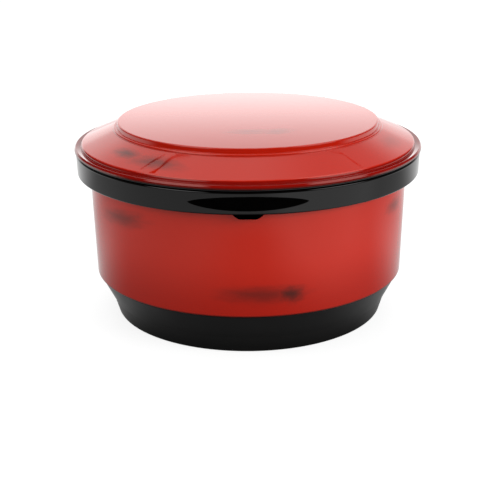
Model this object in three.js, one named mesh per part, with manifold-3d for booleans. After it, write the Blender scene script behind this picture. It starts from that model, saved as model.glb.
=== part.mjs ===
// Lidded rice server: a double-walled red drum on a black foot, with a black rim band and a lift-off lid.
// Millimetres, +Z up. The origin is on the table, under the middle of the foot. The finger tab faces -Y.

import * as THREE from 'three';
import { mergeVertices } from 'three/addons/utils/BufferGeometryUtils.js';
import Module from 'manifold-3d';

// Walls and clearances
const WALL = 2.6; // moulded wall of the bowl's pieces
const LID_WALL = 2.4; // moulded wall of the lid's two pieces
const FIT_GAP = 0.3; // glue line between pieces that are fixed together
const SEAT_GAP = 0.3; // parting line between the resting lid and the rim band
const PLUG_CLEARANCE = 0.8; // between the lid's plug and the bowl's mouth

// Foot and base cone
const FOOT_HEIGHT = 10; // table to the start of the cone
const FOOT_TAPER = 3; // how much the foot narrows towards the table, on the radius
const FOOT_EDGE = 1.2; // rounding of the foot's lower outer edge
const FOOT_RING_WIDTH = 6; // flat ring that stands on the table
const FOOT_RECESS = 3; // underside of the floor above the table
const CONE_HEIGHT = 15.9;
const CONE_RUN = 8.1; // how much the cone narrows towards the foot, on the radius
const BASE_STEP = 1; // the drum's lower edge stands this far proud of the cone
const SPIGOT_HEIGHT = 8; // ring that plugs up into the drum

// Red drum
const DRUM_DIAMETER = 194.4; // where the drum meets the rim band
const DRUM_HEIGHT = 62.6; // drum face between the base and the rim band
const DRUM_TAPER = 1.7; // how much the drum narrows over that face, on the radius
const DRUM_EDGE = 0.7; // rounding of the drum's lower outer edge

// Inner bowl
const SIDE_GAP = 3.5; // air gap between the drum and the bowl, at the top
const FLOOR_GAP = 5; // air gap between the base floor and the bowl
const BOWL_CORNER = 26; // inside radius between floor and wall
const BOWL_DRAFT = 4; // how much the inside narrows from mouth to corner, on the radius

// Rim band and finger tab
const BAND_HEIGHT = 12.9;
const BAND_OVERHANG = 8; // beyond the drum, on the radius
const BAND_DRAFT = 0.4; // how much the band narrows downwards, on the radius
const BAND_EDGE = 1.1; // rounding of the band's outer edges
const TAB_WIDTH = 17; // across the top of the tab
const TAB_SLANT = 3; // how far each end of the tab slants in
const TAB_DROP = 2.6; // below the band's lower edge
const TAB_THICKNESS = 1.4;
const TAB_ROOT = 4; // how far the tab reaches up into the band's skirt

// Lid liner
const LINER_SETBACK = 1.2; // liner edge inside the red lip, on the radius
const LINER_EDGE = 0.8; // thickness of the liner's edge, the black line under the lip
const PLUG_DEPTH = 7; // ring that drops into the bowl's mouth
const PLUG_DRAFT = 0.5; // how much the plug narrows downwards, on the radius
const LID_AIR_GAP = 6; // between the liner's ceiling and the plateau
const CEILING_RUN = 8; // how far the ceiling's edge lies inside the plateau's edge

// Lid shell
const LID_OVERHANG = 0.8; // red lip beyond the band, on the radius
const LIP_THICKNESS = 2.3;
const LIP_RUN = 3.3; // flat ledge of the lip, outside the step
const LIP_ROUND = 1.6; // rounding of the lip's upper outer edge
const LIP_STEP = 1.7; // small upright step between lip and shoulder
const SHOULDER_RUN = 20.5;
const SHOULDER_RISE = 7.9;
const BEAD_RISE = 1.3; // lower step of the plateau's edge
const BEAD_RUN = 2.4;
const PLATEAU_RISE = 2.8; // upper step of the plateau's edge
const PLATEAU_EDGE = 0.8; // rounding of the plateau's edge

const SEGMENTS = 64; // facets round the axis
const ARC_STEPS = 5; // facets in a quarter round

// Heights, from the table up
const coneTop = FOOT_HEIGHT + CONE_HEIGHT;
const drumBottom = coneTop + FIT_GAP;
const bandBottom = drumBottom + DRUM_HEIGHT;
const bandTop = bandBottom + BAND_HEIGHT;
const webBottom = bandTop - WALL;
const flangeTop = webBottom - FIT_GAP;
const flangeBottom = flangeTop - WALL;
const drumTop = flangeBottom - FIT_GAP;
const baseFloor = FOOT_RECESS + WALL;
const bowlUnderside = baseFloor + FLOOR_GAP;
const bowlFloor = bowlUnderside + WALL;
const seat = bandTop + SEAT_GAP;
const linerEdgeTop = seat + LINER_EDGE;
const lipBottom = linerEdgeTop + FIT_GAP;
const lipTop = lipBottom + LIP_THICKNESS;
const shoulderFoot = lipTop + LIP_STEP;
const shoulderTop = shoulderFoot + SHOULDER_RISE;
const beadTop = shoulderTop + BEAD_RISE;
const plateauTop = beadTop + PLATEAU_RISE;
const plateauUnderside = plateauTop - LID_WALL;
const ceilingTop = plateauUnderside - LID_AIR_GAP;
const ceiling = ceilingTop - LID_WALL;

// Radii
const drumRadius = (z) => DRUM_DIAMETER / 2 - (DRUM_TAPER * (bandBottom - z)) / DRUM_HEIGHT;
const drumBore = drumRadius(drumBottom) - WALL;
const coneTopRadius = drumRadius(drumBottom) - BASE_STEP;
const footTopRadius = coneTopRadius - CONE_RUN;
const footRadius = footTopRadius - FOOT_TAPER;
const spigotRadius = drumBore - FIT_GAP;
const bowlOuterRadius = drumRadius(drumTop) - WALL - SIDE_GAP;
const mouthRadius = bowlOuterRadius - WALL;
const cornerRadius = mouthRadius - BOWL_DRAFT;
const bandRadius = DRUM_DIAMETER / 2 + BAND_OVERHANG;
const bandLowRadius = bandRadius - BAND_DRAFT;
const skirtBore = bandLowRadius - WALL;
const flangeRadius = skirtBore - FIT_GAP;
const plugRadius = mouthRadius - PLUG_CLEARANCE;
const plugBore = plugRadius - LID_WALL;
const lipRadius = bandRadius + LID_OVERHANG;
const linerRadius = lipRadius - LINER_SETBACK;
const shoulderFootRadius = lipRadius - LIP_RUN;
const shoulderTopRadius = shoulderFootRadius - SHOULDER_RUN;
const plateauRadius = shoulderTopRadius - BEAD_RUN;
const ceilingRadius = plateauRadius - CEILING_RUN;
const lipBore = shoulderFootRadius - LID_WALL;

// Points [radius, height] along an arc, angles in degrees from the outward direction
function arc(radius, height, size, from, to, steps = ARC_STEPS) {
  return Array.from({ length: steps + 1 }, (_, i) => {
    const angle = THREE.MathUtils.degToRad(from + ((to - from) * i) / steps);
    return [radius + size * Math.cos(angle), height + size * Math.sin(angle)];
  });
}

// A small round on a corner takes two facets
const edge = (radius, height, size, from, to) => arc(radius, height, size, from, to, 2);

// Turns a profile of [radius, height] points about the Z axis
function turned(profile) {
  const points = profile.map(([radius, height]) => new THREE.Vector2(radius, height));
  if (profile[0][0] > 0) {
    points.push(points[0].clone());
  }
  return new THREE.LatheGeometry(points, SEGMENTS).rotateX(Math.PI / 2);
}

// Black lower dish: foot ring, cone, and a spigot that plugs into the drum
function baseCupGeometry() {
  const ringOuter = footRadius - FOOT_EDGE;
  const ringInner = ringOuter - FOOT_RING_WIDTH;
  return turned([
    [0, FOOT_RECESS],
    [ringInner - FOOT_RECESS, FOOT_RECESS],
    [ringInner, 0],
    ...edge(ringOuter, FOOT_EDGE, FOOT_EDGE, -90, 0),
    [footTopRadius, FOOT_HEIGHT],
    [coneTopRadius, coneTop],
    [spigotRadius, coneTop],
    [spigotRadius, coneTop + SPIGOT_HEIGHT],
    [spigotRadius - WALL, coneTop + SPIGOT_HEIGHT],
    [spigotRadius - WALL, coneTop],
    [footTopRadius - WALL, FOOT_HEIGHT],
    [footRadius - WALL, baseFloor],
    [0, baseFloor],
  ]);
}

// Red drum, a slightly tapered tube
function outerShellGeometry() {
  return turned([
    [drumBore, drumBottom],
    ...edge(drumRadius(drumBottom) - DRUM_EDGE, drumBottom + DRUM_EDGE, DRUM_EDGE, -90, 0),
    [drumRadius(drumTop), drumTop],
    [drumRadius(drumTop) - WALL, drumTop],
  ]);
}

// Black bowl inside, hung by its flange on the drum's upper edge
function innerBowlGeometry() {
  const centre = cornerRadius - BOWL_CORNER;
  const cornerTop = bowlFloor + BOWL_CORNER;
  return turned([
    [0, bowlUnderside],
    ...arc(centre, cornerTop, BOWL_CORNER + WALL, -90, 0),
    [bowlOuterRadius, flangeBottom],
    [flangeRadius, flangeBottom],
    [flangeRadius, flangeTop],
    [mouthRadius, flangeTop],
    ...arc(centre, cornerTop, BOWL_CORNER, 0, -90),
    [0, bowlFloor],
  ]);
}

// Turns a closed geometry into a solid that can be joined to another
async function solidMaker() {
  const wasm = await Module();
  wasm.setup();
  return (geometry) => {
    geometry.deleteAttribute('normal');
    geometry.deleteAttribute('uv');
    const merged = mergeVertices(geometry);
    return new wasm.Manifold(new wasm.Mesh({
      numProp: 3,
      vertProperties: new Float32Array(merged.getAttribute('position').array),
      triVerts: new Uint32Array(merged.index.array),
    }));
  };
}

// Black collar: a web over the bowl's flange and a skirt that overhangs the drum
function bandRingGeometry() {
  const lowEdge = bandLowRadius - BAND_EDGE;
  const highEdge = bandRadius - BAND_EDGE;
  return turned([
    [mouthRadius, webBottom],
    [skirtBore, webBottom],
    [skirtBore, bandBottom],
    ...edge(lowEdge, bandBottom + BAND_EDGE, BAND_EDGE, -90, 0),
    ...edge(highEdge, bandTop - BAND_EDGE, BAND_EDGE, 0, 90),
    [mouthRadius, bandTop],
  ]);
}

// Finger tab that hangs from the middle of the skirt's thickness, at the front
function tabGeometry() {
  const top = TAB_WIDTH / 2;
  const low = top - TAB_SLANT;
  const outline = new THREE.Shape([
    new THREE.Vector2(-top, bandBottom + TAB_ROOT),
    new THREE.Vector2(-top, bandBottom),
    new THREE.Vector2(-low, bandBottom - TAB_DROP),
    new THREE.Vector2(low, bandBottom - TAB_DROP),
    new THREE.Vector2(top, bandBottom),
    new THREE.Vector2(top, bandBottom + TAB_ROOT),
  ]);
  const front = -(skirtBore + WALL / 2 + TAB_THICKNESS / 2);
  const tab = new THREE.ExtrudeGeometry(outline, { depth: TAB_THICKNESS, bevelEnabled: false });
  return tab.rotateX(Math.PI / 2).translate(0, front + TAB_THICKNESS, 0);
}

async function rimBandGeometry() {
  const solid = await solidMaker();
  const joined = solid(bandRingGeometry()).add(solid(tabGeometry())).getMesh();
  const geometry = new THREE.BufferGeometry();
  geometry.setAttribute('position', new THREE.BufferAttribute(joined.vertProperties, 3));
  geometry.setIndex(new THREE.BufferAttribute(joined.triVerts, 1));
  return geometry;
}

// Black inside of the lid: flat edge on the band, plug in the mouth, raised ceiling
function lidLinerGeometry() {
  const half = LINER_EDGE / 2;
  const plugBottom = seat - PLUG_DEPTH;
  const flange = seat + LID_WALL;
  return turned([
    [0, ceiling],
    [ceilingRadius, ceiling],
    [plugBore, seat],
    [plugBore, plugBottom],
    [plugRadius - PLUG_DRAFT, plugBottom],
    [plugRadius, seat],
    ...edge(linerRadius - half, seat + half, half, -90, 90),
    [lipBore, linerEdgeTop],
    [lipBore - LID_WALL, flange],
    [plugRadius, flange],
    [ceilingRadius + LID_WALL / 2, ceilingTop],
    [0, ceilingTop],
  ]);
}

// Red lid: rounded lip, small step, cone shoulder and a plateau with a beaded edge
function lidShellGeometry() {
  const slope = Math.atan2(SHOULDER_RISE, SHOULDER_RUN);
  const inset = LID_WALL * Math.tan(slope / 2);
  const drop = LID_WALL / Math.cos(slope);
  const shoulderUnderside = (radius) => (
    shoulderFoot + (SHOULDER_RISE * (shoulderFootRadius - radius)) / SHOULDER_RUN - drop
  );
  const underPlateau = plateauRadius - LID_WALL;
  return turned([
    [0, plateauUnderside],
    [underPlateau - inset, plateauUnderside],
    [underPlateau, shoulderUnderside(underPlateau)],
    [lipBore, shoulderUnderside(lipBore)],
    [lipBore, lipBottom],
    [lipRadius, lipBottom],
    ...edge(lipRadius - LIP_ROUND, lipTop - LIP_ROUND, LIP_ROUND, 0, 90),
    [shoulderFootRadius, lipTop],
    [shoulderFootRadius, shoulderFoot],
    [shoulderTopRadius, shoulderTop],
    ...edge(shoulderTopRadius - BEAD_RISE, shoulderTop, BEAD_RISE, 0, 90),
    [plateauRadius, beadTop],
    ...edge(plateauRadius - PLATEAU_EDGE, plateauTop - PLATEAU_EDGE, PLATEAU_EDGE, 0, 90),
    [0, plateauTop],
  ]);
}

// Each piece has its own lacquer
function lacquer(color, roughness) {
  return new THREE.MeshStandardMaterial({ color, roughness, metalness: 0 });
}

const RED = 0xa8241a;
const BLACK = 0x0d0d0d;
const GLOSS = 0.12;
const SATIN = 0.3;

const server = new THREE.Group();

function addPiece(name, geometry, color, roughness) {
  const piece = new THREE.Mesh(geometry, lacquer(color, roughness));
  piece.name = name;
  server.add(piece);
}

addPiece('base_cup', baseCupGeometry(), BLACK, SATIN);
addPiece('outer_shell', outerShellGeometry(), RED, GLOSS);
addPiece('inner_bowl', innerBowlGeometry(), BLACK, GLOSS);
addPiece('rim_band', await rimBandGeometry(), BLACK, GLOSS);
addPiece('lid_liner', lidLinerGeometry(), BLACK, GLOSS);
addPiece('lid_shell', lidShellGeometry(), RED, GLOSS);

export default server;
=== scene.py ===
# Lidded rice server in red and black lacquer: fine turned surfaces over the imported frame, in metres.

import math

import bpy
from mathutils import Matrix, Vector


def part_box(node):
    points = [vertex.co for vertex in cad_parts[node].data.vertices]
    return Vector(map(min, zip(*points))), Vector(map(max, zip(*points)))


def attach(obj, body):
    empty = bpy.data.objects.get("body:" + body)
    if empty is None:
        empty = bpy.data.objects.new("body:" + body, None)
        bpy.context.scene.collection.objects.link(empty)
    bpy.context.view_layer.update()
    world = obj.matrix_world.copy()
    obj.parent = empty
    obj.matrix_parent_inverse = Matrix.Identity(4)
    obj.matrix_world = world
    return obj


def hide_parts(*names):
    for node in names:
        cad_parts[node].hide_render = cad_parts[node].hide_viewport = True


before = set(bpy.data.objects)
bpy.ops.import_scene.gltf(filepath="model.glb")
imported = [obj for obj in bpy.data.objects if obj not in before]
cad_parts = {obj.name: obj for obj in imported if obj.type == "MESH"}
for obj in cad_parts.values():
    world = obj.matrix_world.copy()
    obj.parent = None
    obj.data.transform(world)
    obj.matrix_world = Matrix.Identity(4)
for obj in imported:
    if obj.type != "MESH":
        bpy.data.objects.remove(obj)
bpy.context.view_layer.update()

# Walls and gaps
WALL = 0.0026
LID_WALL = 0.0024
FIT_GAP = 0.0003
CRISP = 0.0002  # rounding of an inside or hidden corner

# Foot and base cone
FOOT_HEIGHT = 0.010
FOOT_TAPER = 0.003  # on the radius, towards the table
FOOT_EDGE = 0.0012
FOOT_RING_WIDTH = 0.006
FOOT_RECESS = 0.003
FOOT_TO_CONE = 0.006  # soft rounding where the foot opens into the cone
CONE_HEIGHT = 0.0159
CONE_RUN = 0.0081
CONE_EDGE = 0.0005

# Red drum
DRUM_FACE = 0.0626  # height between the base and the rim band
DRUM_TAPER = 0.0017  # on the radius, over that face
DRUM_EDGE = 0.0007

# Inner bowl
SIDE_GAP = 0.0035  # air between the bowl and the top of the drum
BOWL_CORNER = 0.026
BOWL_DRAFT = 0.004
FLANGE_ROOT = 0.0008

# Rim band and finger tab
BAND_HEIGHT = 0.0129
BAND_DRAFT = 0.0004
BAND_EDGE = 0.0011
MOUTH_EDGE = 0.0009
TAB_WIDTH = 0.017
TAB_SLANT = 0.0045  # run of the rounded ends
TAB_THICKNESS = 0.0014
TAB_ROOT = 0.004  # how far the tab reaches up into the skirt
TAB_COLUMNS = 48

# Lid liner
SEAT_GAP = 0.0003
LINER_EDGE = 0.0008  # height of the black edge under the lip
LINER_ROUND = 0.0003
PLUG_DRAFT = 0.0005
PLUG_CLEARANCE = 0.0008
PLUG_EDGE = 0.0008
CEILING_RUN = 0.008
CEILING_ROUND = 0.005

# Lid shell
LIP_THICKNESS = 0.0022
LIP_RUN = 0.0040  # from the rim in to the foot of the shoulder
LIP_FACE = 0.0011  # height of the rim's steep face
LIP_DRAFT = 0.0002
LIP_SLANT = 0.0009  # from the rim in to the crest, over the slanted face
LIP_CREST = 0.0004
LIP_ROUND = 0.0006
LIP_UNDER = 0.0003
LIP_STEP = 0.0014
GROOVE_DEPTH = 0.00035  # below the lip, at the foot of the step
SHOULDER_RUN = 0.0198
SHOULDER_RISE = 0.0083
SHOULDER_EDGE = 0.0022
BEAD_RISE = 0.0013
BEAD_RUN = 0.0024
BEAD_ROUND = 0.0011
PLATEAU_DRAFT = 0.0003
PLATEAU_EDGE = 0.001

# Fineness of the turned meshes
SEGMENTS = 320  # round the axis
ARC_STEPS = 8  # in one rounding
ON_AXIS = 1e-6  # a point with a smaller radius is a pole

# Camera, as in the photograph: pixels of the 500 x 499 picture
IMAGE_WIDTH = 500
FOCAL_PIXELS = 1096.85
SENSOR_WIDTH = 36  # millimetres
CAMERA_DISTANCE = 0.700
CAMERA_PITCH = math.radians(19.15)
CAMERA_ROLL = math.radians(0.45)
CAMERA_AIM = Vector((0.0008, 0, 0.03336))


def make_camera():
    camera = bpy.data.cameras.new("camera")
    camera.sensor_width = SENSOR_WIDTH
    camera.lens = SENSOR_WIDTH * FOCAL_PIXELS / IMAGE_WIDTH
    holder = bpy.data.objects.new("camera", camera)
    back = Vector((0, -math.cos(CAMERA_PITCH), math.sin(CAMERA_PITCH)))
    holder.location = CAMERA_AIM + CAMERA_DISTANCE * back
    tilt = Matrix.Rotation(math.pi / 2 - CAMERA_PITCH, 3, "X")
    holder.rotation_euler = (tilt @ Matrix.Rotation(-CAMERA_ROLL, 3, "Z")).to_euler()
    bpy.context.scene.collection.objects.link(holder)
    bpy.context.scene.camera = holder


# Outlines: corners of radius, height and rounding, from the underside round the outside to the top
def rounded(corners, closed):
    """Points (radius, height) and outward normals along the outline."""
    count = len(corners)
    points = []
    for i, (radius, height, rounding) in enumerate(corners):
        here = Vector((radius, height))
        if not closed and i in (0, count - 1):
            points.append((here, Vector((0, -1 if i == 0 else 1))))
            continue
        before = here - Vector(corners[i - 1][:2])
        after = Vector(corners[(i + 1) % count][:2]) - here
        before.normalize()
        after.normalize()
        turn = -before.angle_signed(after)
        start = here - before * rounding * math.tan(abs(turn) / 2)
        side = math.copysign(1, turn)
        first = Vector((before.y, -before.x))
        centre = start - first * rounding * side
        for step in range(ARC_STEPS + 1):
            angle = turn * step / ARC_STEPS
            cos, sin = math.cos(angle), math.sin(angle)
            normal = Vector((first.x * cos - first.y * sin, first.x * sin + first.y * cos))
            points.append((centre + normal * rounding * side, normal))
    return points


def mesh_object(name, vertices, normals, faces):
    mesh = bpy.data.meshes.new(name)
    mesh.from_pydata(vertices, [], faces)
    mesh.polygons.foreach_set("use_smooth", [True] * len(mesh.polygons))
    mesh.normals_split_custom_set_from_vertices(normals)
    piece = bpy.data.objects.new(name, mesh)
    bpy.context.scene.collection.objects.link(piece)
    return piece


def turned(name, corners):
    """Turns an outline about the Z axis; one that starts on the axis ends on it too."""
    closed = corners[0][0] > 0
    outline = rounded(corners, closed)
    vertices, normals, rings = [], [], []
    for point, normal in outline:
        if point.x < ON_AXIS:
            rings.append([len(vertices)] * SEGMENTS)
            vertices.append((0, 0, point.y))
            normals.append((0, 0, normal.y))
            continue
        rings.append(range(len(vertices), len(vertices) + SEGMENTS))
        for i in range(SEGMENTS):
            angle = 2 * math.pi * i / SEGMENTS
            cos, sin = math.cos(angle), math.sin(angle)
            vertices.append((point.x * cos, point.x * sin, point.y))
            normals.append((normal.x * cos, normal.x * sin, normal.y))
    faces = []
    for low, high in zip(rings, rings[1:] + rings[:1] if closed else rings[1:]):
        for i in range(SEGMENTS):
            j = (i + 1) % SEGMENTS
            loop = [low[i], low[j], high[j], high[i]]
            faces.append(tuple(dict.fromkeys(loop)))
    return mesh_object(name, vertices, normals, faces)


# Heights and radii that the pieces share, from the frame's boxes
def reach(node):
    """Outer radius, lowest and highest point of a turned node."""
    low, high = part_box(node)
    return high[0], low[2], high[2]


cone_radius, table, spigot_top = reach("base_cup")
drum_top_radius, drum_low, drum_top = reach("outer_shell")
flange_radius, bowl_low, flange_top = reach("inner_bowl")
band_radius, tab_low, band_top = reach("rim_band")
liner_radius, plug_low, ceiling_top = reach("lid_liner")
lip_radius, lip_low, plateau_top = reach("lid_shell")

drum_low_radius = drum_top_radius - DRUM_TAPER / DRUM_FACE * (drum_top - drum_low)
drum_bore = drum_low_radius - WALL
bowl_outer_radius = drum_top_radius - WALL - SIDE_GAP
mouth_radius = bowl_outer_radius - WALL
band_low = band_top - BAND_HEIGHT
band_low_radius = band_radius - BAND_DRAFT
skirt_bore = band_low_radius - WALL
seat = band_top + SEAT_GAP
plug_radius = mouth_radius - PLUG_CLEARANCE
lip_top = lip_low + LIP_THICKNESS
shoulder_foot = lip_top + LIP_STEP
shoulder_top = shoulder_foot + SHOULDER_RISE
bead_top = shoulder_top + BEAD_RISE
shoulder_foot_radius = lip_radius - LIP_RUN
shoulder_top_radius = shoulder_foot_radius - SHOULDER_RUN
plateau_radius = shoulder_top_radius - BEAD_RUN
lip_bore = shoulder_foot_radius - LID_WALL


def make_base_cup():
    cone_top = table + FOOT_HEIGHT + CONE_HEIGHT
    foot_top_radius = cone_radius - CONE_RUN
    foot_radius = foot_top_radius - FOOT_TAPER
    ring_inner = foot_radius - FOOT_EDGE - FOOT_RING_WIDTH
    spigot_radius = drum_bore - FIT_GAP
    floor = table + FOOT_RECESS + WALL
    return turned("base_cup_fine", [
        (0, table + FOOT_RECESS, 0),
        (ring_inner - FOOT_RECESS, table + FOOT_RECESS, FOOT_RECESS / 2),
        (ring_inner, table, FOOT_EDGE / 2),
        (foot_radius, table, FOOT_EDGE),
        (foot_top_radius, table + FOOT_HEIGHT, FOOT_TO_CONE),
        (cone_radius, cone_top, CONE_EDGE),
        (spigot_radius, cone_top, CRISP),
        (spigot_radius, spigot_top, CRISP),
        (spigot_radius - WALL, spigot_top, CRISP),
        (spigot_radius - WALL, cone_top, CRISP),
        (foot_top_radius - WALL, table + FOOT_HEIGHT, CRISP),
        (foot_radius - WALL, floor, CRISP),
        (0, floor, 0),
    ])


def make_outer_shell():
    return turned("outer_shell_fine", [
        (drum_bore, drum_low, CRISP),
        (drum_low_radius, drum_low, DRUM_EDGE),
        (drum_top_radius, drum_top, CRISP),
        (drum_top_radius - WALL, drum_top, CRISP),
    ])


def make_inner_bowl():
    flange_low = flange_top - WALL
    bowl_floor = bowl_low + WALL
    corner_radius = mouth_radius - BOWL_DRAFT
    return turned("inner_bowl_fine", [
        (0, bowl_low, 0),
        (corner_radius + WALL, bowl_low, BOWL_CORNER + WALL),
        (bowl_outer_radius, flange_low, FLANGE_ROOT),
        (flange_radius, flange_low, CRISP),
        (flange_radius, flange_top, CRISP),
        (mouth_radius, flange_top, FLANGE_ROOT),
        (corner_radius, bowl_floor, BOWL_CORNER),
        (0, bowl_floor, 0),
    ])


def make_rim_band():
    web_low = band_top - WALL
    return turned("rim_band_fine", [
        (mouth_radius, web_low, CRISP),
        (skirt_bore, web_low, CRISP),
        (skirt_bore, band_low, CRISP),
        (band_low_radius, band_low, BAND_EDGE),
        (band_radius, band_top, BAND_EDGE),
        (mouth_radius, band_top, MOUTH_EDGE),
    ])


def make_finger_tab():
    """Curved tongue that hangs from the middle of the skirt's thickness, at the front."""
    half = TAB_WIDTH / 2
    round_size = TAB_THICKNESS / 2
    middle = skirt_bore + WALL / 2
    vertices, normals, loops = [], [], []
    for column in range(TAB_COLUMNS + 1):
        along = half * (2 * column / TAB_COLUMNS - 1)
        share = min(1, (half - abs(along)) / TAB_SLANT)
        low = band_low - (band_low - tab_low) * math.sin(share * math.pi / 2)
        loop = [(round_size, band_low + TAB_ROOT, 1, 0)]
        for step in range(2 * ARC_STEPS + 1):
            angle = -math.pi * step / (2 * ARC_STEPS)
            cos, sin = math.cos(angle), math.sin(angle)
            loop.append((round_size * cos, low + round_size * (1 + sin), cos, sin))
        loop.append((-round_size, band_low + TAB_ROOT, -1, 0))
        turn = along / middle
        loops.append(range(len(vertices), len(vertices) + len(loop)))
        for out, height, facing, rise in loop:
            radius = middle + out
            vertices.append((radius * math.sin(turn), -radius * math.cos(turn), height))
            normals.append((facing * math.sin(turn), -facing * math.cos(turn), rise))
    faces = [tuple(loops[0]), tuple(reversed(loops[-1]))]
    for left, right in zip(loops, loops[1:]):
        for i in range(len(left)):
            j = (i + 1) % len(left)
            faces.append((left[j], left[i], right[i], right[j]))
    return mesh_object("finger_tab_fine", vertices, normals, faces)


def make_lid_liner():
    ceiling = ceiling_top - LID_WALL
    plug_bore = plug_radius - LID_WALL
    edge_top = seat + LINER_EDGE
    ceiling_radius = plateau_radius - CEILING_RUN
    flange = seat + LID_WALL
    return turned("lid_liner_fine", [
        (0, ceiling, 0),
        (ceiling_radius, ceiling, CEILING_ROUND),
        (plug_bore, seat, CRISP),
        (plug_bore, plug_low, PLUG_EDGE),
        (plug_radius - PLUG_DRAFT, plug_low, PLUG_EDGE),
        (plug_radius, seat, CRISP),
        (liner_radius, seat, LINER_ROUND),
        (liner_radius, edge_top, LINER_ROUND),
        (lip_bore, edge_top, CRISP),
        (lip_bore - LID_WALL, flange, CRISP),
        (plug_radius, flange, CRISP),
        (ceiling_radius + LID_WALL / 2, ceiling_top, CRISP),
        (0, ceiling_top, 0),
    ])


def make_lid_shell():
    slope = math.atan2(SHOULDER_RISE, SHOULDER_RUN)
    inset = LID_WALL * math.tan(slope / 2)
    drop = LID_WALL / math.cos(slope)
    under = plateau_radius - LID_WALL

    def shoulder_underside(radius):
        return shoulder_foot + SHOULDER_RISE * (shoulder_foot_radius - radius) / SHOULDER_RUN - drop

    return turned("lid_shell_fine", [
        (0, plateau_top - LID_WALL, 0),
        (under - inset, plateau_top - LID_WALL, CRISP),
        (under, shoulder_underside(under), CRISP),
        (lip_bore, shoulder_underside(lip_bore), CRISP),
        (lip_bore, lip_low, CRISP),
        (lip_radius, lip_low, LIP_UNDER),
        (lip_radius - LIP_DRAFT, lip_low + LIP_FACE, LIP_ROUND),
        (lip_radius - LIP_SLANT, lip_top, LIP_CREST),
        (shoulder_foot_radius, lip_top - GROOVE_DEPTH, CRISP),
        (shoulder_foot_radius, shoulder_foot, SHOULDER_EDGE),
        (shoulder_top_radius, shoulder_top, CRISP),
        (shoulder_top_radius, bead_top, BEAD_ROUND),
        (plateau_radius + PLATEAU_DRAFT, bead_top, CRISP),
        (plateau_radius - PLATEAU_DRAFT, plateau_top, PLATEAU_EDGE),
        (0, plateau_top, 0),
    ])


class Graph:
    """Short names for adding shader nodes; a value is a number, a colour or another node's output."""

    def __init__(self, owner):
        owner.use_nodes = True
        self.nodes, self.links = owner.node_tree.nodes, owner.node_tree.links

    def add(self, kind, **settings):
        node = self.nodes.new("ShaderNode" + kind)
        for name, value in settings.items():
            setattr(node, name, value)
        return node

    def feed(self, socket, value):
        if isinstance(value, bpy.types.NodeSocket):
            self.links.new(value, socket)
        else:
            socket.default_value = value

    def math(self, operation, *values):
        node = self.add("Math", operation=operation)
        for socket, value in zip(node.inputs, values):
            self.feed(socket, value)
        return node.outputs[0]

    def vector_math(self, operation, *vectors):
        """An operation on vectors that gives a number."""
        node = self.add("VectorMath", operation=operation)
        for socket, vector in zip(node.inputs, vectors):
            self.feed(socket, vector)
        return node.outputs["Value"]

    def ramp(self, value, span, to_low, to_high):
        """Smooth change from to_low to to_high while the value goes through the span."""
        node = self.add("MapRange", interpolation_type="SMOOTHSTEP")
        for socket, number in zip(node.inputs, (value, *span, to_low, to_high)):
            self.feed(socket, number)
        return node.outputs[0]

    def switch(self, condition, off, on):
        """Off where the condition is 0, on where it is 1."""
        return self.ramp(condition, (0, 1), off, on)

    def mix(self, factor, first, second):
        """First colour where the factor is 0, second where it is 1."""
        node = self.add("Mix", data_type="RGBA")
        for name, value in (("Factor_Float", factor), ("A_Color", first), ("B_Color", second)):
            self.feed(next(s for s in node.inputs if s.identifier == name), value)
        return next(s for s in node.outputs if s.identifier == "Result_Color")

    def noise(self, place, scale, detail):
        node = self.add("TexNoise")
        self.feed(node.inputs["Vector"], place)
        self.feed(node.inputs["Scale"], scale)
        self.feed(node.inputs["Detail"], detail)
        return node.outputs["Fac"]

    def split(self, vector):
        node = self.add("SeparateXYZ")
        self.feed(node.inputs[0], vector)
        return node.outputs


# Lacquer colours
RED = (0.52, 0.013, 0.0028, 1)
# The second red mottles the drum at random; it and the third make the lid darker than the drum, which is
# painted shade
MOTTLE_AND_LID_SHADE_RED = (0.48, 0.012, 0.0025, 1)
LID_SHADE_RED = (0.45, 0.012, 0.0025, 1)
PAINTED_SHADE_RED = (0.20, 0.002, 0.0006, 1)  # painted shade, partly where the red is thin over the black undercoat
# Black of the clouds, also used for the painted shade line along lower edges
CLOUD_AND_EDGE_SHADE = (0.010, 0.007, 0.006, 1)
WARM_GLOSS = (1, 0.98, 0.9, 1)
GLOSS_BLACK = (0.0003, 0.0003, 0.0003, 1)
WORN_GLOSS = (0.0012, 0.0011, 0.001, 1)
SATIN_BLACK = (0.002, 0.002, 0.002, 1)
WORN_SATIN = (0.005, 0.0048, 0.0046, 1)

# Finish of each lacquer: roughness, how much it varies, waviness; and the strength of a black's gloss
RED_FINISH = (0.025, 0.025, 0.008)
GLOSS_FINISH = (0.015, 0.02, 0.004)
SATIN_FINISH = (0.28, 0.06, 0.015)
GLOSS_LEVEL = 0.5
SATIN_LEVEL = 0.58

# Uneven tone, haze and the waves of a sprayed coat: scales per metre
RED_MOTTLE = 26
BLACK_MOTTLE = 35
HAZE_SCALE = 60
HAZE_SPAN = (0.3, 0.7)
FINE_DETAIL = 3
NOISE_MEAN = 0.5
WAVE_SCALE = 220
WAVE_DETAIL = 2
WAVE_HEIGHT = 0.0004

# Painted shade in deep red, partly thin red, as a share: low on the drum, on the lid's steep steps, and
# over its lip and groove
DRUM_LOW_SHADE = 0.42
DRUM_LOW_SHADE_HEIGHT = 0.034
STEP_SHADE_LOW = 0.9
STEP_SHADE_HIGH = 0.3
STEEP_TO_SLOPE = (0.6, 0.72)  # upward part of the normal
LIP_SHADE = 0.95
LIP_SHADE_TOP = (-0.001, -0.0002)  # measured up from the foot of the shoulder

# Painted shade: a dark line along the lower edge of a red piece
EDGE_SHADE_LINE = (0.0005, 0.0013)  # above that edge
EDGE_SHADE = 0.6

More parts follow.
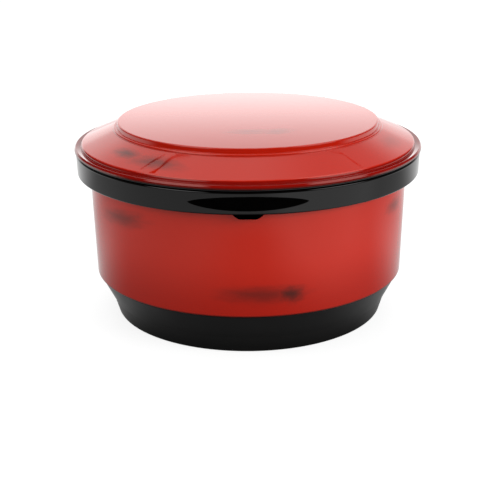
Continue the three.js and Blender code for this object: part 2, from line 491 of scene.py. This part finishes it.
# Soft black clouds: azimuth, radius, height; half length, depth and height; tilt along the wall, strength
DRUM_CLOUDS = [
    (4, 0.096, 0.0396, 0.030, 0.02, 0.0066, 0, 0.56),
    (14.1, 0.096, 0.0391, 0.0108, 0.02, 0.0064, 0, 0.82),
    (-48.2, 0.097, 0.0752, 0.025, 0.02, 0.0064, -6, 0.58),
    (62, 0.097, 0.0760, 0.013, 0.02, 0.0056, 0, 0.52),
    (112, 0.096, 0.0430, 0.026, 0.02, 0.0066, 0, 0.6),
    (158, 0.097, 0.0720, 0.020, 0.02, 0.0064, -8, 0.6),
    (-156, 0.096, 0.0400, 0.026, 0.02, 0.0064, 0, 0.6),
    (-108, 0.097, 0.0560, 0.018, 0.02, 0.0060, 6, 0.55),
]
LID_CLOUDS = [
    (-49.5, 0.0900, 0.1117, 0.0145, 0.0046, 0.02, 0, 0.72),
    (-33.5, 0.0918, 0.1110, 0.021, 0.0058, 0.02, 0, 0.64),
    (68, 0.0900, 0.1119, 0.016, 0.0066, 0.02, 0, 0.26),
    (24, 0.0425, 0.1191, 0.012, 0.0085, 0.02, 0, 0.34),
    (2, 0.0390, 0.1191, 0.017, 0.0085, 0.02, 0, 0.30),
    (140, 0.0920, 0.1112, 0.018, 0.0062, 0.02, 0, 0.6),
    (-125, 0.0900, 0.1119, 0.016, 0.0062, 0.02, 0, 0.55),
    (-160, 0.0450, 0.1191, 0.022, 0.0080, 0.02, 0, 0.3),
]

# Edges of the clouds, in half lengths of a cloud
CLOUD_FADE = (0.05, 1.2)
CLOUD_BREAK = 0.7
CLOUD_BREAK_SCALE = 2.2


def cloud_mask(graph, place, clouds):
    """Soft ellipsoids with slightly broken edges, lying along the turn; azimuths go from front to right."""
    total = 0
    for azimuth, radius, height, length, depth, rise, tilt, strength in clouds:
        angle = math.radians(azimuth)
        mapping = graph.add("Mapping", vector_type="TEXTURE")
        centre = (radius * math.sin(angle), -radius * math.cos(angle), height)
        graph.feed(mapping.inputs["Vector"], place)
        graph.feed(mapping.inputs["Location"], centre)
        graph.feed(mapping.inputs["Rotation"], (0, math.radians(tilt), angle))
        graph.feed(mapping.inputs["Scale"], (length, depth, rise))
        within = mapping.outputs[0]
        uneven = graph.noise(within, CLOUD_BREAK_SCALE, FINE_DETAIL)
        edge = graph.math("MULTIPLY", graph.math("SUBTRACT", uneven, NOISE_MEAN), CLOUD_BREAK)
        edge = graph.math("ADD", graph.vector_math("LENGTH", within), edge)
        total = graph.math("MAXIMUM", total, graph.ramp(edge, CLOUD_FADE, strength, 0))
    return total


def lacquer_surface(graph, place, shader, finish):
    """Roughness that varies a little, and the faint waviness of a sprayed coat."""
    roughness, spread, waviness = finish
    haze = graph.noise(place, HAZE_SCALE, FINE_DETAIL)
    uneven = graph.ramp(haze, HAZE_SPAN, roughness, roughness + spread)
    graph.feed(shader.inputs["Roughness"], uneven)
    bump = graph.add("Bump")
    graph.feed(bump.inputs["Strength"], waviness)
    graph.feed(bump.inputs["Distance"], WAVE_HEIGHT)
    graph.feed(bump.inputs["Height"], graph.noise(place, WAVE_SCALE, WAVE_DETAIL))
    graph.feed(shader.inputs["Normal"], bump.outputs["Normal"])


# Painted shade: the drum's red gets darker towards its lower edge
def shade_low_on_drum(graph, height):
    return graph.ramp(height, (drum_low, drum_low + DRUM_LOW_SHADE_HEIGHT), DRUM_LOW_SHADE, 0)


# Painted shade: the lid's steep faces and its lip and groove get deep red, partly as red thin over the
# undercoat
def shade_on_lid(graph, height):
    rise = graph.split(graph.add("NewGeometry").outputs["Normal"])[2]
    step = graph.ramp(height, (shoulder_foot, shoulder_top), STEP_SHADE_LOW, STEP_SHADE_HIGH)
    steep = graph.ramp(rise, STEEP_TO_SLOPE, step, 0)
    top = [shoulder_foot + above for above in LIP_SHADE_TOP]
    lip = graph.ramp(height, top, LIP_SHADE, 0)
    return graph.math("MAXIMUM", steep, lip)


def red_lacquer(name, light_tone, dark_tone, painted_shade_share, low, clouds):
    """Uneven red with painted shade: deep red in places, partly thin red, and a dark lower edge; and black
    clouds.
    """
    material = bpy.data.materials.new(name)
    graph = Graph(material)
    shader = graph.nodes["Principled BSDF"]
    shader.inputs["Specular Tint"].default_value = WARM_GLOSS
    place = graph.add("TexCoord").outputs["Object"]
    lacquer_surface(graph, place, shader, RED_FINISH)
    height = graph.split(place)[2]
    tone = graph.mix(graph.noise(place, RED_MOTTLE, FINE_DETAIL), light_tone, dark_tone)
    # Painted shade: deep red where the share says
    tone = graph.mix(painted_shade_share(graph, height), tone, PAINTED_SHADE_RED)
    line = [low + above for above in EDGE_SHADE_LINE]
    # Painted shade line along the lower edge
    tone = graph.mix(graph.ramp(height, line, EDGE_SHADE, 0), tone, CLOUD_AND_EDGE_SHADE)
    tone = graph.mix(cloud_mask(graph, place, clouds), tone, CLOUD_AND_EDGE_SHADE)
    graph.feed(shader.inputs["Base Color"], tone)
    return material


def black_lacquer(name, tone, worn_tone, level, finish):
    material = bpy.data.materials.new(name)
    graph = Graph(material)
    shader = graph.nodes["Principled BSDF"]
    shader.inputs["Specular IOR Level"].default_value = level
    place = graph.add("TexCoord").outputs["Object"]
    mottled = graph.mix(graph.noise(place, BLACK_MOTTLE, FINE_DETAIL), tone, worn_tone)
    graph.feed(shader.inputs["Base Color"], mottled)
    lacquer_surface(graph, place, shader, finish)
    return material


# Stage: white floor and soft light
WHITE = (1, 1, 1, 1)
WORLD_LIGHT = 0.71
FLOOR_COLOUR = (0.3, 0.3, 0.3, 1)
FLOOR_GLOW = 0.79
FLOOR_HALF_SIZE = 6
FLOOR_GAP = 0.0002  # under the foot

# Soft lamps: name, place, aim, width, height, power in watts
LAMPS = [
    ("back", (-0.1, 1.3, 1.0), (0, 0, 0.1), 1.4, 0.8, 11),
    ("key", (1.344, -0.776, 0.62), (0, 0, 0.06), 1.0, 0.6, 15),
    ("front", (0.53, -1.46, 0.62), (0, 0, 0.06), 0.8, 0.5, 4),
    ("fill", (-1.53, -0.27, 0.62), (0, 0, 0.06), 0.6, 0.5, 5.6),
]

# Mirrored floor, as the lacquer sees it: brightness of its parts, and shares of it where it is shaded
FLOOR_LEFT = 0.52
FLOOR_MIDDLE = 0.36
FLOOR_AHEAD = 0.55
FLOOR_RIGHT = 0.82
FLOOR_SIDE = 0.55
FLOOR_BACK = 0.78
FLOOR_FAR = 0.48
FLOOR_BEHIND = 1.0
FLOOR_HORIZON = 1.2
FLOOR_SHADE = 0.36
FLOOR_SHEEN = 1.9  # beside the bowl, close to the foot
CONTACT_SHADE = 0.45
RING_SHADE = 0.1  # the bowl's own shadow, which darkens the underside of the rim band

# Where the mirrored floor changes: away from the axis, aside either way, x to the right, y to the back
CONTACT_AWAY = (0.083, 0.097)
SHADE_AWAY = (0.1, 0.27)
AHEAD_AWAY = (0.27, 0.34)
LEFT_X = (-0.14, -0.01)
RIGHT_X = (0.02, 0.15)
SIDE_Y = (-0.14, -0.03)
SHEEN_AWAY = (0.115, 0.145)
SHEEN_ASIDE = (0.05, 0.1)
RING_INNER_AWAY = (0.108, 0.118)
RING_OUTER_AWAY = (0.13, 0.15)
RING_Y = (-0.11, -0.08)
BACK_Y = (-0.06, 0.06)
BACK_AWAY = (0.19, 0.36)
BEHIND_Y = (0.08, 0.26)
HORIZON_AWAY = (0.45, 0.8)

# Mirrored room, as the lacquer sees it: brightness of the back wall from its foot up, and of the rest
BACK_LOW = 0.6
BACK_FOOT = 3.0
FOOT_LEFT = 1.7
FOOT_RIGHT = 1.35
BACK_LEFT = 1.42
BACK_MIDDLE = 0.97
BACK_RIGHT = 1.1
TOP_LEFT = 1.0
TOP_RIGHT = 0.53
ROOM_FRONT = 0.03
ROOM_SIDE = 0.06

# Where the mirrored room changes: parts of a unit direction, named as for the floor, with z up
LOW_Z = (0.12, 0.17)
LOW_ASIDE = (0.07, 0.11)
FOOT_ASIDE = (0.12, 0.22)
FOOT_X = (-0.1, 0.1)
FOOT_Z = (0.16, 0.25)
BACK_LEFT_X = (-0.38, -0.1)
BACK_RIGHT_X = (0.1, 0.34)
TOP_X = (0, 0.3)
TOP_Z = (0.36, 0.6)
SIDE_Z = (0, 0.16)
SIDE_ASIDE = (0.42, 0.62)
FRONT_Y = (-0.2, 0.15)

# Directions of soft windows at both sides, which show as fine light lines on the rounded edges
WINDOWS = [(-0.43, 0.08, 0.90), (0.47, 0.16, 0.87), (-0.63, -0.45, 0.63), (0.75, -0.30, 0.58)]
WINDOW_SPAN = (math.cos(math.radians(21)), math.cos(math.radians(13)))  # from the edge to the core
WINDOW_LIGHT = 1.9

# Dark strip in front of the rim band, curved with it, which shows there as a long dark streak
DARK = (0.001, 0.001, 0.001, 1)
STRIP_BELOW = 0.0075  # under the band's lower edge
STRIP_RADIUS = 0.1418
STRIP_INWARD = 0.011
STRIP_OUTWARD = 0.0128
STRIP_ANGLE = math.radians(24)
STRIP_POINT = 0.7  # pointed ends: 0.5 would be an ellipse
STRIP_COLUMNS = 48

# Dark ceiling seams that show as thin curved lines in the lid: x, y and half width along each
CEILING = 1.2
SEAMS = [
    [
        (-0.33, 0.69, 0.0015),
        (-0.42, 0.78, 0.005),
        (-0.46, 0.80, 0.011),
        (-0.485, 0.80, 0.007),
        (-0.53, 0.84, 0.002),
    ],
    [(-0.487, 0.867, 0.0015), (-0.545, 0.915, 0.006), (-0.59, 0.94, 0.002)],
    [(0.49, 0.885, 0.0006), (0.565, 0.98, 0.003), (0.60, 0.992, 0.007), (0.63, 1.01, 0.001)],
]


def mirrored_room(graph):
    """Brightness of the graded back wall, the dim sides and front, and the windows."""
    way = graph.add("TexCoord").outputs["Generated"]
    x, y, z = graph.split(way)
    aside = graph.math("ABSOLUTE", x)
    top = graph.ramp(x, TOP_X, TOP_LEFT, TOP_RIGHT)
    middle = graph.ramp(x, BACK_LEFT_X, BACK_LEFT, BACK_MIDDLE)
    middle = graph.ramp(x, BACK_RIGHT_X, middle, BACK_RIGHT)
    foot = graph.ramp(x, FOOT_X, FOOT_LEFT, FOOT_RIGHT)
    foot = graph.ramp(aside, FOOT_ASIDE, BACK_FOOT, foot)
    low = graph.ramp(aside, LOW_ASIDE, BACK_LOW, foot)
    foot = graph.ramp(z, LOW_Z, low, foot)
    back = graph.ramp(z, FOOT_Z, foot, graph.ramp(z, TOP_Z, middle, top))
    side = graph.ramp(z, SIDE_Z, FLOOR_HORIZON, ROOM_SIDE)
    room = graph.ramp(aside, SIDE_ASIDE, back, side)
    room = graph.ramp(y, FRONT_Y, ROOM_FRONT, room)
    for window in WINDOWS:
        near = graph.vector_math("DOT_PRODUCT", way, Vector(window).normalized())
        room = graph.math("MAXIMUM", room, graph.ramp(near, WINDOW_SPAN, 0, WINDOW_LIGHT))
    return room


def make_world():
    """Even light on the object, white for the camera and the mirrored room for gloss."""
    world = bpy.data.worlds.new("studio")
    bpy.context.scene.world = world
    graph = Graph(world)
    path = graph.add("LightPath").outputs
    light = graph.switch(path["Is Glossy Ray"], WORLD_LIGHT, mirrored_room(graph))
    seen = graph.math("MAXIMUM", path["Is Camera Ray"], path["Is Transmission Ray"])
    background = graph.nodes["Background"]
    background.inputs["Color"].default_value = WHITE
    graph.feed(background.inputs["Strength"], graph.switch(seen, light, 1))


def flat_sheet(name, corners, material):
    mesh = bpy.data.meshes.new(name)
    mesh.from_pydata(corners, [], [tuple(range(len(corners)))])
    mesh.materials.append(material)
    sheet = bpy.data.objects.new(name, mesh)
    bpy.context.scene.collection.objects.link(sheet)
    return sheet


def mirrored_floor(graph):
    """Brightness of the floor, shaded round the bowl and bright towards the back."""
    place = graph.add("TexCoord").outputs["Object"]
    x, y, _ = graph.split(place)
    away = graph.vector_math("LENGTH", place)
    aside = graph.math("ABSOLUTE", x)
    middle = graph.ramp(away, AHEAD_AWAY, FLOOR_MIDDLE, FLOOR_AHEAD)
    left = graph.ramp(x, LEFT_X, FLOOR_LEFT, middle)
    right = graph.ramp(y, SIDE_Y, FLOOR_RIGHT, FLOOR_SIDE)
    front = graph.ramp(x, RIGHT_X, left, right)
    shade = graph.ramp(away, SHADE_AWAY, FLOOR_SHADE, 1)
    contact = graph.ramp(away, CONTACT_AWAY, CONTACT_SHADE, 1)
    sheen = graph.ramp(aside, SHEEN_ASIDE, 1, FLOOR_SHEEN)
    sheen = graph.ramp(away, SHEEN_AWAY, sheen, 1)
    front = graph.math("MULTIPLY", front, graph.math("MULTIPLY", shade, contact))
    front = graph.math("MULTIPLY", front, sheen)
    behind = graph.ramp(y, BEHIND_Y, FLOOR_FAR, FLOOR_BEHIND)
    far = graph.ramp(away, HORIZON_AWAY, behind, FLOOR_HORIZON)
    back = graph.ramp(away, BACK_AWAY, FLOOR_BACK, far)
    inner = graph.ramp(away, RING_INNER_AWAY, 1, RING_SHADE)
    outer = graph.ramp(away, RING_OUTER_AWAY, RING_SHADE, 1)
    ring = graph.ramp(y, RING_Y, graph.math("MAXIMUM", inner, outer), 1)
    return graph.math("MULTIPLY", graph.ramp(y, BACK_Y, front, back), ring)


def make_floor():
    """White floor that keeps the bowl's shadow; gloss sees the mirrored floor instead."""
    material = bpy.data.materials.new("floor")
    graph = Graph(material)
    path = graph.add("LightPath").outputs
    shader = graph.nodes["Principled BSDF"]
    shader.inputs["Base Color"].default_value = FLOOR_COLOUR
    shader.inputs["Roughness"].default_value = 1
    shader.inputs["Specular IOR Level"].default_value = 0
    shader.inputs["Emission Color"].default_value = WHITE
    seen = graph.math("MAXIMUM", path["Is Camera Ray"], path["Is Transmission Ray"])
    graph.feed(shader.inputs["Emission Strength"], graph.math("MULTIPLY", seen, FLOOR_GLOW))
    mirrored = graph.add("Emission")
    graph.feed(mirrored.inputs["Strength"], mirrored_floor(graph))
    either = graph.add("MixShader")
    graph.feed(either.inputs[0], path["Is Glossy Ray"])
    graph.feed(either.inputs[1], shader.outputs[0])
    graph.feed(either.inputs[2], mirrored.outputs[0])
    graph.feed(graph.nodes["Material Output"].inputs["Surface"], either.outputs[0])
    signs = ((-1, -1), (1, -1), (1, 1), (-1, 1))
    corners = [(FLOOR_HALF_SIZE * x, FLOOR_HALF_SIZE * y, table - FLOOR_GAP) for x, y in signs]
    flat_sheet("floor", corners, material)


def mirrored_sheet(name, corners, material):
    """A flat sheet that is seen only in the lacquer."""
    sheet = flat_sheet(name, corners, material)
    sheet.visible_camera = False
    sheet.visible_diffuse = False
    sheet.visible_transmission = False
    sheet.visible_shadow = False


def make_dark_strip(material):
    inner, outer = [], []
    height = band_low - STRIP_BELOW
    for i in range(STRIP_COLUMNS + 1):
        share = 2 * i / STRIP_COLUMNS - 1
        angle = share * STRIP_ANGLE
        depth = (1 - share * share) ** STRIP_POINT
        near = STRIP_RADIUS - STRIP_INWARD * depth
        far = STRIP_RADIUS + STRIP_OUTWARD * depth
        inner.append((near * math.sin(angle), -near * math.cos(angle), height))
        outer.append((far * math.sin(angle), -far * math.cos(angle), height))
    mirrored_sheet("dark_strip", outer[:-1] + inner[:0:-1], material)


def make_seams(material):
    for number, seam in enumerate(SEAMS):
        one_side, other_side = [], []
        for i, (x, y, width) in enumerate(seam):
            along = Vector(seam[min(i + 1, len(seam) - 1)][:2]) - Vector(seam[max(i - 1, 0)][:2])
            across = width * Vector((-along.y, along.x)).normalized()
            one_side.append((x + across.x, y + across.y, CEILING))
            other_side.append((x - across.x, y - across.y, CEILING))
        mirrored_sheet("seam_%d" % number, one_side + other_side[::-1], material)


def make_dark_room():
    """Dark things round the table that are seen only in the lacquer."""
    material = bpy.data.materials.new("dark_room")
    shader = Graph(material).nodes["Principled BSDF"]
    shader.inputs["Base Color"].default_value = DARK
    shader.inputs["Specular IOR Level"].default_value = 0
    make_dark_strip(material)
    make_seams(material)


def soft_box(name, place, aim, width, height, power):
    """A lamp that lights the object but isn't mirrored in it."""
    lamp = bpy.data.lights.new(name, "AREA")
    lamp.shape = "RECTANGLE"
    lamp.size = width
    lamp.size_y = height
    lamp.energy = power
    holder = bpy.data.objects.new(name, lamp)
    holder.location = place
    holder.rotation_euler = (Vector(aim) - Vector(place)).to_track_quat("-Z", "Y").to_euler()
    holder.visible_camera = False
    holder.visible_glossy = False
    bpy.context.scene.collection.objects.link(holder)


make_camera()

red_drum = red_lacquer("red_drum", RED, MOTTLE_AND_LID_SHADE_RED, shade_low_on_drum, drum_low, DRUM_CLOUDS)
# Painted shade: the lid takes darker reds than the drum
red_lid = red_lacquer("red_lid", MOTTLE_AND_LID_SHADE_RED, LID_SHADE_RED, shade_on_lid, lip_low, LID_CLOUDS)
gloss_black = black_lacquer("gloss_black", GLOSS_BLACK, WORN_GLOSS, GLOSS_LEVEL, GLOSS_FINISH)
satin_black = black_lacquer("satin_black", SATIN_BLACK, WORN_SATIN, SATIN_LEVEL, SATIN_FINISH)

# Each piece with the node it stands for, its body, material slot and lacquer
dressed = [
    (make_base_cup(), "base_cup", "bowl", "black_base", satin_black),
    (make_outer_shell(), "outer_shell", "bowl", "red_drum", red_drum),
    (make_inner_bowl(), "inner_bowl", "bowl", "black_bowl", gloss_black),
    (make_rim_band(), "rim_band", "bowl", "black_band", gloss_black),
    (make_finger_tab(), "rim_band", "bowl", "black_band", gloss_black),
    (make_lid_liner(), "lid_liner", "lid", "black_liner", gloss_black),
    (make_lid_shell(), "lid_shell", "lid", "red_lid", red_lid),
]
for piece, node, body, slot, material in dressed:
    piece.data.materials.append(material)
    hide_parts(node)
    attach(piece, body)

make_world()
make_floor()
make_dark_room()
for lamp in LAMPS:
    soft_box(*lamp)

bpy.context.scene.view_settings.view_transform = "Standard"
